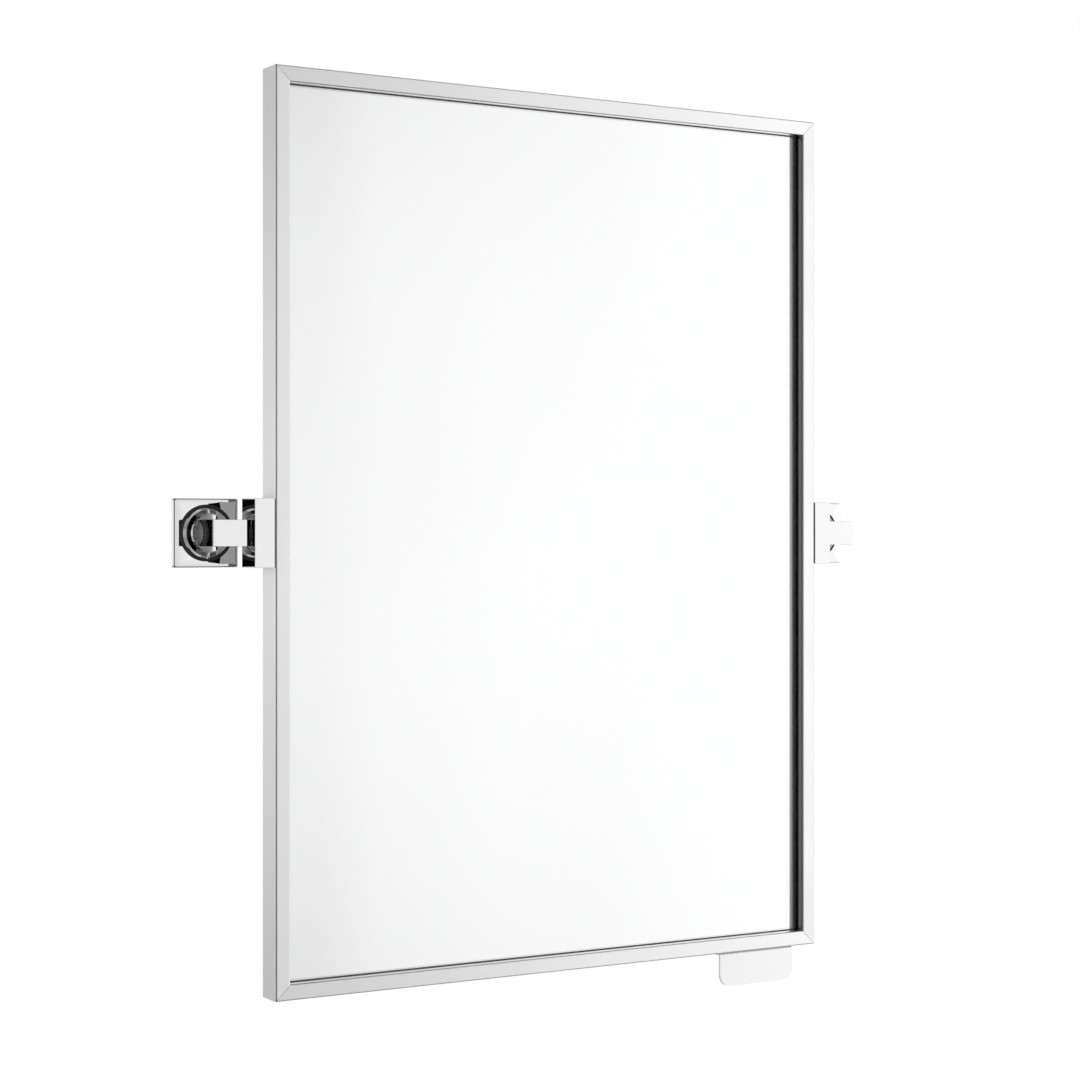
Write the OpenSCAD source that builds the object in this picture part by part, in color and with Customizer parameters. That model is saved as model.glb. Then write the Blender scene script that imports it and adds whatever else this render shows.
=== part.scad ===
// Pivot wall mirror: a framed mirror that tilts between two wall brackets.
// Front faces -Y, the wall is the plane Y = 0 and the pivot axis runs along X at Z = 0.

/* [Frame] */
// Outer width of the frame
frame_w = 500; // [400:5:700]
// Outer height of the frame
frame_h = 700; // [500:5:1000]
// Depth of the frame, front to back
frame_d = 25; // [24:0.5:32]
// Width of the front face of each rail
face_w = 12; // [11:0.5:15]
// Wall thickness of the rail profile
rail_wall = 1.2; // [1:0.1:1.4]
// Radius of the profile's long outer edges
rail_edge_r = 1.2; // [0.4:0.1:1.6]
// Width of the lip that the glass lies behind
glazing_lip_w = 6; // [5:0.5:7]
// Width of the web behind the glass and its backing
web_w = 16; // [14:0.5:22]
// Width of the lip along the back edge
rear_lip_w = 4; // [2:0.5:5]
// Open line along each mitre
mitre_gap = 0.2; // [0.1:0.05:0.4]

/* [Glass and backing] */
// Depth of the glass below the front of the frame
glass_recess = 7; // [6:0.5:8.5]
// Thickness of the glass
glass_t = 5; // [3:0.5:6]
// Space between the edge of the glass and the inside of the rails
glass_edge_space = 3.8; // [3.6:0.1:5]
// Thickness of the silvering and its protective coat
silver_t = 0.2; // [0.1:0.05:0.4]
// Thickness of the foam sheet
foam_t = 2; // [1:0.25:3]
// Thickness of the steel back panel
panel_t = 0.9; // [0.6:0.1:1.5]
// Thickness of the glazing tape
tape_t = 0.45; // [0.3:0.05:0.8]
// Width of the glazing tape
tape_w = 4; // [3:0.25:4.5]
// Distance from the tape to the rail's inner face
tape_set_back = 1.5; // [0.5:0.25:1.5]

/* [Spring clips] */
// Height of the space that a clip is bent into
clip_h = 2.9; // [2:0.1:4]
// Length of a clip
clip_l = 30; // [24:1:40]
// Width of a clip
clip_w = 7; // [5:0.5:8]
// Thickness of a clip
clip_t = 0.5; // [0.4:0.05:0.8]
// Distance from a clip to the edge of the web
clip_set_back = 1; // [0.5:0.25:1.5]
// Clips along each stile
clips_per_stile = 3; // [2:1:5]
// Clips along each of the top and bottom rails
clips_per_rail = 2; // [1:1:4]

/* [Corner keys] */
// Length of each arm of a corner key
key_l = 45; // [35:1:60]
// Width of each arm of a corner key
key_w = 8.5; // [7:0.5:11]
// Distance from the end of a key's arm to its set screw
key_screw_end = 12; // [8:1:20]
// Radius of a set screw
set_screw_r = 1.5; // [1.25:0.25:2]

/* [Pivot block] */
// Thickness of the block, outward from the frame
block_t = 16; // [15:0.5:22]
// Height of the block
block_h = 52; // [48:1:70]
// Depth of the block, front to back
block_d = 24; // [22:0.5:24.5]
// Radius of the block's edges
block_edge_r = 0.6; // [0.3:0.1:1.5]
// Thickness of the gasket behind the block
gasket_t = 1; // [0.5:0.25:2]
// Distance from the gasket's edge to the block's edge
gasket_set_back = 1; // [0.5:0.25:2]
// Thickness of the block's wall that carries the pivot
block_web = 5; // [4:0.5:5.5]
// Distance between the block's two screws
block_screw_pitch = 34; // [30:1:38]
// Radius of the block's screws
block_screw_r = 2; // [1.5:0.25:2]
// Length of the screws inside the block
block_screw_hold = 10; // [6:0.5:13]
// Thickness of the stiffener plate inside the stile
stiffener_t = 2; // [1.5:0.25:2.5]
// Height of the stiffener plate
stiffener_h = 60; // [50:1:100]

/* [Pivot] */
// Depth of the pivot axis behind the front of the frame
pivot_depth = 12.5; // [11.5:0.25:12.5]
// Radius of the pivot pin
pin_r = 3; // [2.5:0.25:3.25]
// Length of the pin inside the arm
pin_hold = 18; // [12:0.5:22]
// Wall thickness of the pivot bush
bush_wall = 1; // [0.75:0.25:1.5]
// Radius of the friction washer
friction_washer_r = 8; // [7:0.5:9]
// Thickness of the bush's flange
bush_flange_t = 1; // [0.75:0.05:1.25]
// Thickness of the friction washer
friction_washer_t = 1.25; // [1:0.05:1.5]
// Gap between the arm and the block
arm_gap = 0.3; // [0.2:0.05:0.5]
// Height of the lock nut
nut_h = 4.5; // [3.5:0.25:4.75]
// Width of the lock nut across its flats
nut_flats = 10; // [9:0.5:10]
// Radius of the disc spring and of the plain washer
washer_r = 6; // [5.5:0.25:6.5]
// Thickness of the plain washer
washer_t = 1; // [0.8:0.1:1.2]
// Thickness of the disc spring's sheet
spring_t = 0.5; // [0.4:0.05:0.6]
// Height of the disc spring's cone
spring_cone = 0.5; // [0.3:0.05:0.6]

/* [Arm] */
// Height of the arm, and width of its post
arm_size = 20; // [18:0.5:24]
// Thickness of the bar, front to back
bar_t = 10; // [9:0.25:12]
// Length of the bar between the block and the post
bar_l = 10; // [8:0.5:20]
// Radius of the arm's edges
arm_edge_r = 0.6; // [0.3:0.1:1.5]
// Radius of the round spigot at the back of the arm
spigot_r = 7; // [5:0.5:8]
// Depth of the hollow in the spigot that the grub screw enters
spigot_hollow = 1.5; // [1.25:0.25:2]

/* [Wall plate] */
// Clear space between the back of the frame and the wall
wall_gap = 25; // [23:0.5:60]
// Width and height of the wall base
base_size = 46; // [44:0.5:60]
// Thickness of the wall base
base_t = 2; // [1.5:0.25:3]
// Space between the edge of the wall base and the inside of the wall cover
base_clear = 1.8; // [0.3:0.1:3]
// Depth of the wall cover
cover_d = 5; // [4.5:0.25:7]
// Wall thickness of the wall cover
cover_wall = 1.2; // [1:0.1:1.5]
// Chamfer round the front of the wall cover
cover_chamfer = 1.2; // [0.5:0.1:1.6]
// Width of the shallow bevel round the front of the wall cover
cover_bevel_w = 4.5; // [2:0.25:5]
// Depth of that bevel at the edge of the wall cover
cover_bevel_d = 0.25; // [0.1:0.05:0.5]
// Radius of the socket's wall on the wall base
socket_r = 12; // [10:0.5:13]
// Distance between the two wall screws of a bracket
wall_screw_pitch = 34; // [33:0.5:36]
// Radius of the holes for the wall screws
wall_hole_r = 2.75; // [2:0.25:3]
// Radius of the rosette at its foot
rosette_r = 19.6; // [19:0.1:21]
// Height of the rosette's steep side
rosette_side_h = 3.1; // [2.7:0.1:4]
// How far the steep side leans in
rosette_draft = 1.9; // [0.8:0.1:2.2]
// Slope of the rosette's cone
rosette_slope = 30; // [26:1:34]
// Radius of the foot of the rosette's step
rosette_step_r = 14.8; // [14.4:0.1:15.4]
// Height of the rosette's step
rosette_step_h = 1.7; // [1.4:0.1:2.5]
// How far the step leans in
rosette_step_draft = 0.7; // [0.3:0.1:1]
// Slope of the rosette's crown, up to the post
rosette_crown_slope = 20; // [10:1:28]
// Height of the post's seat above the foot of the step
rosette_seat_rise = 0.7; // [0.4:0.1:1.1]
// Thickness of the rosette's wall under the post's seat
rosette_front = 1.6; // [1.4:0.1:2]
// Radius of the hollow in the rosette
rosette_hollow_r = 14; // [13.5:0.1:14.2]
// Thickness of the seal behind the rosette
seal_t = 1.2; // [0.8:0.1:1.4]
// How far the seal stands out round the rosette's foot
seal_margin = 1.9; // [0.5:0.1:2.4]
// Radius of the grub screw that holds the arm
grub_r = 1.5; // [1.25:0.05:1.5]
// Depth of the grub screw below the edge between the rosette's side and its cone
grub_recess = 1.2; // [1.2:0.1:2]
// Depth of the hexagon socket in the grub screw
grub_socket = 2; // [1.5:0.25:3]

/* [Handle tab] */
// Width of the tab
tab_w = 74; // [60:1:120]
// Length of the tab below the frame
tab_drop = 28; // [20:0.5:60]
// Thickness of the tab
tab_t = 2; // [1.5:0.25:3]
// Radius of the tab's lower corners
tab_corner_r = 10; // [4:0.5:14]
// Distance from the tab to the right side of the frame
tab_inset = 22; // [8:0.5:40]
// Depth of the tab's front face behind the front of the frame
tab_depth = 2; // [1.5:0.25:4]
// Width of the flange that is folded back under the frame
tab_flange_w = 11.5; // [11:0.5:12.5]
// Distance between the tab's two screws
tab_screw_pitch = 48; // [30:1:50]
// Radius of the tab's screws
tab_screw_r = 2; // [1.5:0.25:2]
// Thickness of the nut strip inside the bottom rail
nut_strip_t = 3; // [2:0.25:3]

/* [Hidden] */
$fn = 64;

// Sides of a hexagon, and of the large circle that a clip is bowed to
hex_fn = 6;
bow_fn = 180;
// How far a cut runs past the face that it opens
cut = 1;
// Clearances: flat faces that slide, a running fit, still parts that fit, free space
slide_clear = 0.05;
run_clear = 0.05;
fit_clear = 0.05;
free_clear = 0.3;
// How far a screw or a pin ends past what it is screwed into
screw_tip = 0.3;
// Spare depth of a threaded hole, and space round a nut for its spanner
hole_spare = 1;
spanner_space = 1.5;

left = -1;
right = 1;

// Depths behind the front of the frame
lip_back = glass_recess - tape_t - 2 * fit_clear;
glass_back = glass_recess + glass_t;
silver_back = glass_back + silver_t;
foam_back = silver_back + foam_t;
panel_back = foam_back + panel_t;
web_front = panel_back + clip_h;
web_back = web_front + rail_wall;
rear_lip_front = frame_d - rail_wall;

// Planes of the whole part
front_y = -(wall_gap + frame_d);
axis_y = front_y + pivot_depth;
wall_y = -axis_y;

// Glass and what lies behind it, all of one size
pane_w = frame_w - 2 * (rail_wall + glass_edge_space);
pane_h = frame_h - 2 * (rail_wall + glass_edge_space);

// Places along the pivot axis, outward from the side of the frame
stiffener_in = -rail_wall - stiffener_t;
block_screw_end = gasket_t + block_screw_hold;
block_out = gasket_t + block_t;
arm_end = block_out + arm_gap;
post_in = block_out + bar_l;
post_mid = post_in + arm_size / 2;
post_out = post_in + arm_size;
washer_pocket = friction_washer_t + slide_clear - arm_gap;
web_out = block_out - washer_pocket;
web_in = web_out - block_web;
spring_out = web_in - bush_flange_t - slide_clear;
washer_out = spring_out - spring_t - spring_cone;
nut_out = washer_out - washer_t;
nut_in = nut_out - nut_h;
pin_end = nut_in - screw_tip;
bush_r = pin_r + run_clear + bush_wall;
nut_r = nut_flats / sqrt(3);
nut_well_r = nut_r + spanner_space;

// Places behind the pivot axis
post_front = -bar_t / 2;
cover_size = base_size + 2 * (base_clear + cover_wall);
cover_front = wall_y - cover_d;
seal_front = cover_front - seal_t;
base_front = wall_y - base_t;

// Heights and radii of the rosette's section, from the front of its seal
shoulder_r = rosette_r - rosette_draft;
step_h = rosette_side_h + (shoulder_r - rosette_step_r) * tan(rosette_slope);
step_top_h = step_h + rosette_step_h;
step_top_r = rosette_step_r - rosette_step_draft;
crown_h = step_top_h + (step_top_r - arm_size / 2) * tan(rosette_crown_slope);
seat_h = step_h + rosette_seat_rise;
seat_y = seal_front - seat_h;
socket_front = seat_y + rosette_front + free_clear;
grub_y = (socket_front + seal_front) / 2;

head_r = 2 * block_screw_r;
tab_head_r = 2 * tab_screw_r;
tab_head_t = tab_t - fit_clear;
tab_screw_l = tab_t + rail_wall + nut_strip_t + screw_tip;
tab_mid_x = frame_w / 2 - tab_inset - tab_w / 2;
tab_screw_y = tab_depth + (tab_t + tab_flange_w) / 2;
key_t = rear_lip_front - web_back - fit_clear;
key_inset = rail_wall + fit_clear;

// Rectangle with rounded corners
module soft_rect(size, r) {
    translate([r, 0]) square([size.x - 2 * r, size.y]);
    translate([0, r]) square([size.x, size.y - 2 * r]);
    for (x = [r, size.x - r], y = [r, size.y - r])
        translate([x, y]) circle(r = r);
}

// Box with all its edges rounded
module soft_box(size, r) {
    intersection() {
        linear_extrude(height = size.z) soft_rect([size.x, size.y], r);
        translate([0, size.y, 0])
            rotate([90, 0, 0])
                linear_extrude(height = size.y) soft_rect([size.x, size.z], r);
        rotate([90, 0, 90])
            linear_extrude(height = size.x) soft_rect([size.y, size.z], r);
    }
}

// Cylinder along X, from x onwards
module x_cylinder(x, length, r) {
    translate([x, 0, 0]) rotate([0, 90, 0]) cylinder(h = length, r = r);
}

// Cylinder along Y, from y onwards
module y_cylinder(y, length, r) {
    translate([0, y, 0]) rotate([-90, 0, 0]) cylinder(h = length, r = r);
}

// Ring along X
module x_ring(x, length, outer_r, inner_r) {
    difference() {
        x_cylinder(x, length, outer_r);
        x_cylinder(x - cut, length + 2 * cut, inner_r);
    }
}

// Places a bracket piece: X outward from the side of the frame, Y = 0 on the pivot axis
module at_side(side) {
    translate([side * frame_w / 2, axis_y, 0])
        if (side < 0)
            mirror([1, 0, 0]) children();
        else
            children();
}

// Places the piece at both ends of a centred pitch along Z
module at_pitch(pitch) {
    for (z = [-pitch / 2, pitch / 2])
        translate([0, 0, z]) children();
}

// What is cut away to round one corner of the profile
module corner_waste(r) {
    difference() {
        translate([-cut, -cut]) square(r + cut);
        translate([r, r]) circle(r = r);
    }
}

// Section of a rail: X inward from its outer side, Y back from its front
module rail_profile() {
    difference() {
        union() {
            square([rail_wall, frame_d]);
            square([face_w, rail_wall]);
            translate([face_w - rail_wall, 0]) square([rail_wall, lip_back]);
            translate([face_w - glazing_lip_w, lip_back - rail_wall]) square([glazing_lip_w, rail_wall]);
            translate([0, web_front]) square([web_w, rail_wall]);
            translate([0, rear_lip_front]) square([rear_lip_w, rail_wall]);
        }
        corner_waste(rail_edge_r);
        translate([face_w, 0]) mirror([1, 0]) corner_waste(rail_edge_r);
        translate([0, frame_d]) mirror([0, 1]) corner_waste(rail_edge_r);
    }
}

// Outline of a mitred rail, seen from the front, outer side on Y = 0
module mitre_outline(length) {
    half = length / 2 - mitre_gap / sqrt(2);
    reach = web_w + cut;
    polygon([[-half, 0], [half, 0], [half - reach, reach], [-half + reach, reach]]);
}

// One side of the frame; turn 0 is the bottom, 90 the left, 180 the top and -90 the right
module rail(length, across, turn) {
    rotate([0, turn, 0])
        translate([0, front_y, -across / 2])
            intersection() {
                rotate([0, -90, 0])
                    linear_extrude(height = length, center = true) rail_profile();
                translate([0, frame_d + cut, 0])
                    rotate([90, 0, 0])
                        linear_extrude(height = frame_d + 2 * cut) mitre_outline(length);
            }
}

module top_rail() {
    color("silver") rail(frame_w, frame_h, 180);
}

// Places the tab's screws, pointing up
module at_tab_screws() {
    for (x = [-tab_screw_pitch / 2, tab_screw_pitch / 2])
        translate([tab_mid_x + x, front_y + tab_screw_y, -frame_h / 2]) children();
}

module bottom_rail() {
    color("silver")
        difference() {
            rail(frame_w, frame_h, 0);
            at_tab_screws()
                translate([0, 0, -cut]) cylinder(h = rail_wall + 2 * cut, r = tab_screw_r + free_clear);
        }
}

// A stile with the holes for the screws of its pivot block
module stile(side) {
    difference() {
        rail(frame_h, frame_w, -90 * side);
        at_side(side)
            at_pitch(block_screw_pitch)
                x_cylinder(-rail_wall - cut, rail_wall + 2 * cut, block_screw_r + free_clear);
    }
}

module left_stile() {
    color("silver") stile(left);
}

module right_stile() {
    color("silver") stile(right);
}

// Places a piece at the four corners, its arms running inward along X and Z
module at_corners() {
    for (turn_x = [0, 1], turn_z = [0, 1])
        mirror([turn_x, 0, 0])
            mirror([0, 0, turn_z])
                translate([-frame_w / 2, front_y, -frame_h / 2]) children();
}

// Places the two set screws of one corner key
module at_key_screws() {
    across = (rear_lip_w + key_inset + key_w) / 2;
    along = key_inset + key_l - key_screw_end;
    for (place = [[along, across], [across, along]])
        translate([place.x, 0, place.y]) children();
}

module corner_keys() {
    color("darkgray")
        at_corners()
            difference() {
                translate([key_inset, web_back + fit_clear / 2, key_inset]) {
                    cube([key_l, key_t, key_w]);
                    cube([key_w, key_t, key_l]);
                }
                at_key_screws()
                    y_cylinder(web_back - cut, key_t + 2 * cut + fit_clear, set_screw_r + fit_clear);
            }
}

module key_set_screws() {
    color("dimgray")
        at_corners()
            at_key_screws()
                y_cylinder(web_back + fit_clear / 2, key_t, set_screw_r);
}

// Flat strip of glazing tape along one side of the frame
module tape_strip(length, across, turn) {
    inset = face_w - tape_set_back - tape_w;
    rotate([0, turn, 0])
        translate([-length / 2 + face_w, front_y + lip_back + fit_clear, -across / 2 + inset])
            cube([length - 2 * face_w, tape_t, tape_w]);
}

module glazing_tape() {
    color("black") {
        tape_strip(frame_w, frame_h, 0);
        tape_strip(frame_w, frame_h, 180);
        tape_strip(frame_h, frame_w, 90);
        tape_strip(frame_h, frame_w, -90);
    }
}

// A sheet as large as the glass
module sheet(depth, thickness) {
    translate([-pane_w / 2, front_y + depth, -pane_h / 2]) cube([pane_w, thickness, pane_h]);
}

module mirror_glass() {
    color("azure", 0.5) sheet(glass_recess, glass_t);
}

module silvering() {
    color("gainsboro") sheet(glass_back, silver_t);
}

module foam_sheet() {
    color("ivory") sheet(silver_back, foam_t);
}

module back_panel() {
    color("lightslategray") sheet(foam_back, panel_t);
}

// Bowed clip: its middle presses the back panel and its ends press the web
module spring_clip() {
    rise = clip_h - clip_t - 2 * fit_clear;
    bow_r = (pow(clip_l / 2, 2) + pow(rise, 2)) / (2 * rise);
    outer_r = bow_r + clip_t;
    across = web_w - clip_set_back - clip_w;
    translate([0, panel_back + fit_clear, across])
        linear_extrude(height = clip_w)
            intersection() {
                translate([0, outer_r])
                    difference() {
                        circle(r = outer_r, $fn = bow_fn);
                        circle(r = bow_r, $fn = bow_fn);
                    }
                translate([-clip_l / 2, 0]) square([clip_l, clip_h - 2 * fit_clear]);
            }
}

// A row of clips along one side of the frame
module clip_row(count, length, across, turn) {
    step = length / count;
    rotate([0, turn, 0])
        for (i = [0 : count - 1])
            translate([-length / 2 + step * (i + 0.5), front_y, -across / 2]) spring_clip();
}

module spring_clips() {
    color("lightgray") {
        clip_row(clips_per_rail, frame_w, frame_h, 0);
        clip_row(clips_per_rail, frame_w, frame_h, 180);
        clip_row(clips_per_stile, frame_h, frame_w, 90);
        clip_row(clips_per_stile, frame_h, frame_w, -90);
    }
}

// Outline of the tab, seen from the front: its top edge lies on Y = 0
module tab_outline() {
    difference() {
        translate([-tab_w / 2, -tab_drop]) square([tab_w, tab_drop]);
        for (turn = [0, 1])
            mirror([turn, 0])
                translate([-tab_w / 2, -tab_drop]) corner_waste(tab_corner_r);
    }
}

module handle_tab() {
    hole_r = tab_screw_r + fit_clear;
    color("gainsboro")
        difference() {
            translate([tab_mid_x, front_y + tab_depth, -frame_h / 2]) {
                translate([0, tab_t, 0])
                    rotate([90, 0, 0])
                        linear_extrude(height = tab_t) tab_outline();
                translate([-tab_w / 2, 0, -tab_t]) cube([tab_w, tab_flange_w, tab_t]);
            }
            at_tab_screws() {
                translate([0, 0, -tab_t - cut]) cylinder(h = tab_t + 2 * cut, r = hole_r);
                translate([0, 0, -tab_t - fit_clear])
                    cylinder(h = tab_t, r1 = tab_head_r + fit_clear, r2 = hole_r);
            }
        }
}

module tab_screws() {
    color("gray")
        at_tab_screws() {
            translate([0, 0, -tab_t]) cylinder(h = tab_head_t, r1 = tab_head_r, r2 = tab_screw_r);
            translate([0, 0, -tab_t]) cylinder(h = tab_screw_l, r = tab_screw_r);
        }
}

module tab_nut_strip() {
    strip_w = tab_flange_w - 2 * tab_t;
    color("darkgray")
        difference() {
            translate([tab_mid_x - tab_w / 2, front_y + tab_screw_y - strip_w / 2, -frame_h / 2 + rail_wall])
                cube([tab_w, strip_w, nut_strip_t]);
            at_tab_screws()
                cylinder(h = rail_wall + nut_strip_t + cut, r = tab_screw_r + fit_clear);
        }
}

// Plate inside a stile that takes the heads of the block's screws
module stiffener(side) {
    hole_r = block_screw_r + fit_clear;
    color("darkgray")
        at_side(side)
            difference() {
                translate([stiffener_in, rail_wall + free_clear - pivot_depth, -stiffener_h / 2])
                    cube([stiffener_t, web_front - rail_wall - 2 * free_clear, stiffener_h]);
                at_pitch(block_screw_pitch) {
                    x_cylinder(stiffener_in - cut, stiffener_t + 2 * cut, hole_r);
                    translate([stiffener_in - fit_clear, 0, 0])
                        rotate([0, 90, 0])
                            cylinder(h = stiffener_t, r1 = head_r + fit_clear, r2 = hole_r);
                }
            }
}

module left_stiffener() {
    stiffener(left);
}

module right_stiffener() {
    stiffener(right);
}

// Two countersunk screws, from inside the stile into the block
module block_screws(side) {
    color("gray")
        at_side(side)
            at_pitch(block_screw_pitch) {
                x_cylinder(stiffener_in, block_screw_end - stiffener_in, block_screw_r);
                translate([stiffener_in, 0, 0])
                    rotate([0, 90, 0])
                        cylinder(h = stiffener_t, r1 = head_r, r2 = block_screw_r);
            }
}

module left_block_screws() {
    block_screws(left);
}

module right_block_screws() {
    block_screws(right);
}

module gasket(side) {
    color("black")
        at_side(side)
            difference() {
                translate([0, gasket_set_back - pivot_depth, gasket_set_back - block_h / 2])
                    cube([gasket_t, block_d - 2 * gasket_set_back, block_h - 2 * gasket_set_back]);
                x_cylinder(-cut, gasket_t + 2 * cut, nut_well_r);
                at_pitch(block_screw_pitch)
                    x_cylinder(-cut, gasket_t + 2 * cut, block_screw_r + free_clear);
            }
}

module left_gasket() {
    gasket(left);
}

module right_gasket() {
    gasket(right);
}

module pivot_block(side) {
    color("gainsboro")
        at_side(side)
            difference() {
                translate([gasket_t, -pivot_depth, -block_h / 2])
                    soft_box([block_t, block_d, block_h], block_edge_r);
                x_cylinder(0, block_out + cut, bush_r + fit_clear);
                x_cylinder(0, web_in, nut_well_r);
                x_cylinder(web_out, washer_pocket + cut, friction_washer_r + fit_clear);
                at_pitch(block_screw_pitch)
                    x_cylinder(0, block_screw_end + hole_spare, block_screw_r + fit_clear);
            }
}

module left_pivot_block() {
    pivot_block(left);
}

module right_pivot_block() {
    pivot_block(right);
}

// Flanged bush, pressed into the block's wall from the frame's side
module bush(side) {
    bore_r = pin_r + run_clear;
    color("ivory")
        at_side(side) {
            x_ring(web_in, block_web, bush_r, bore_r);
            x_ring(web_in - bush_flange_t, bush_flange_t, washer_r, bore_r);
        }
}

module left_bush() {
    bush(left);
}

module right_bush() {
    bush(right);
}

module friction_washer(side) {
    color("black")
        at_side(side)
            x_ring(web_out, friction_washer_t, friction_washer_r, pin_r + free_clear);
}

module left_friction_washer() {
    friction_washer(left);
}

module right_friction_washer() {
    friction_washer(right);
}

module pivot_pin(side) {
    color("silver") at_side(side) x_cylinder(pin_end, arm_end + pin_hold - pin_end, pin_r);
}

module left_pivot_pin() {
    pivot_pin(left);
}

module right_pivot_pin() {
    pivot_pin(right);
}

// Conical disc spring between the washer and the bush
module disc_spring(side) {
    inner = pin_r + fit_clear;
    color("dimgray")
        at_side(side)
            translate([washer_out, 0, 0])
                rotate([0, 90, 0])
                    rotate_extrude()
                        polygon([[inner, spring_cone], [washer_r, 0], [washer_r, spring_t],
                            [inner, spring_cone + spring_t]]);
}

module left_disc_spring() {
    disc_spring(left);
}

module right_disc_spring() {
    disc_spring(right);
}

module washer(side) {
    color("silver") at_side(side) x_ring(nut_out, washer_t, washer_r, pin_r + fit_clear);
}

module left_washer() {
    washer(left);
}

module right_washer() {
    washer(right);
}

module lock_nut(side) {
    color("silver")
        at_side(side)
            difference() {
                translate([nut_in, 0, 0])
                    rotate([0, 90, 0])
                        cylinder(h = nut_h, r = nut_r, $fn = hex_fn);
                x_cylinder(nut_in - cut, nut_h + 2 * cut, pin_r + fit_clear);
            }
}

module left_lock_nut() {
    lock_nut(left);
}

module right_lock_nut() {
    lock_nut(right);
}

// Post and bar in one piece, with the spigot that enters the wall base
module arm(side) {
    post_d = seat_y - post_front;
    spigot_l = wall_y - free_clear - seat_y;
    color("gainsboro")
        at_side(side)
            difference() {
                union() {
                    translate([arm_end, post_front, -arm_size / 2])
                        soft_box([post_out - arm_end, bar_t, arm_size], arm_edge_r);
                    translate([post_in, post_front, -arm_size / 2])
                        soft_box([arm_size, post_d, arm_size], arm_edge_r);
                    translate([post_mid, 0, 0])
                        y_cylinder(seat_y - cut, spigot_l + cut, spigot_r);
                }
                x_cylinder(arm_end - cut, pin_hold + cut, pin_r + fit_clear);
                translate([post_mid, grub_y, -spigot_r - cut])
                    cylinder(h = cut + spigot_hollow, r = grub_r + fit_clear);
            }
}

module left_arm() {
    arm(left);
}

module right_arm() {
    arm(right);
}

// Grub screw, up through the rosette and the socket into the arm's spigot
module arm_grub(side) {
    color("dimgray")
        at_side(side)
            translate([post_mid, grub_y, -shoulder_r + grub_recess])
                difference() {
                    cylinder(h = shoulder_r - spigot_r, r = grub_r);
                    translate([0, 0, -cut]) cylinder(h = cut + grub_socket, r = grub_r / 2, $fn = hex_fn);
                }
}

module left_arm_grub() {
    arm_grub(left);
}

module right_arm_grub() {
    arm_grub(right);
}

// Turned rosette: a stepped cone with a square seat for the post, open towards the wall
module rosette(side) {
    bore = spigot_r + fit_clear;
    seat_w = arm_size + 2 * fit_clear;
    hollow_h = seat_h - rosette_front;
    color("gainsboro")
        at_side(side)
            difference() {
                translate([post_mid, seal_front, 0])
                    rotate([90, 0, 0])
                        rotate_extrude()
                            polygon([[rosette_hollow_r, 0], [rosette_r, 0], [shoulder_r, rosette_side_h],
                                [rosette_step_r, step_h], [step_top_r, step_top_h],
                                [arm_size / 2, crown_h], [bore, crown_h], [bore, hollow_h],
                                [rosette_hollow_r, hollow_h]]);
                translate([post_mid - seat_w / 2, seat_y - crown_h, -seat_w / 2])
                    cube([seat_w, crown_h, seat_w]);
                translate([post_mid, grub_y, -rosette_r - cut])
                    cylinder(h = rosette_r - rosette_hollow_r + 2 * cut, r = grub_r + fit_clear);
            }
}

module left_rosette() {
    rosette(left);
}

module right_rosette() {
    rosette(right);
}

// Flat seal between the rosette and the cover
module rosette_seal(side) {
    color("black")
        at_side(side)
            translate([post_mid, 0, 0])
                difference() {
                    y_cylinder(seal_front, seal_t, rosette_r + seal_margin);
                    y_cylinder(seal_front - cut, seal_t + 2 * cut, rosette_hollow_r);
                }
}

module left_rosette_seal() {
    rosette_seal(left);
}

module right_rosette_seal() {
    rosette_seal(right);
}

// What is cut away to bevel and chamfer the four front edges of the cover
module chamfer_waste() {
    edge = cover_size / 2;
    for (turn = [0 : 90 : 270])
        rotate([0, turn, 0])
            translate([-edge - cut, cover_front, edge])
                rotate([90, 0, 90])
                    linear_extrude(height = cover_size + 2 * cut)
                        polygon([[-cut, -cover_bevel_w], [0, -cover_bevel_w],
                            [cover_bevel_d, -cover_chamfer], [cover_chamfer, 0],
                            [cover_chamfer + cut, cut], [-cut, cut]]);
}

// Square cover: a shallow box, open towards the wall, with a round hole for the socket
module wall_cover(side) {
    inner = cover_size - 2 * cover_wall;
    color("gainsboro")
        at_side(side)
            translate([post_mid, 0, 0])
                difference() {
                    translate([-cover_size / 2, cover_front, -cover_size / 2])
                        cube([cover_size, cover_d, cover_size]);
                    translate([-inner / 2, cover_front + cover_wall, -inner / 2])
                        cube([inner, cover_d, inner]);
                    y_cylinder(cover_front - cut, cover_d + cut, socket_r + free_clear);
                    chamfer_waste();
                }
}

module left_wall_cover() {
    wall_cover(left);
}

module right_wall_cover() {
    wall_cover(right);
}

// Steel plate with the arm's socket and the two holes for the wall screws
module wall_base(side) {
    color("darkgray")
        at_side(side)
            translate([post_mid, 0, 0])
                difference() {
                    union() {
                        translate([-base_size / 2, base_front, -base_size / 2])
                            cube([base_size, base_t, base_size]);
                        y_cylinder(socket_front, wall_y - socket_front, socket_r);
                    }
                    y_cylinder(socket_front - cut, wall_y - socket_front + 2 * cut, spigot_r + fit_clear);
                    at_pitch(wall_screw_pitch)
                        y_cylinder(base_front - cut, base_t + 2 * cut, wall_hole_r);
                    translate([0, grub_y, -socket_r - cut])
                        cylinder(h = socket_r - spigot_r + 2 * cut, r = grub_r + fit_clear);
                }
}

module left_wall_base() {
    wall_base(left);
}

module right_wall_base() {
    wall_base(right);
}

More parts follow.
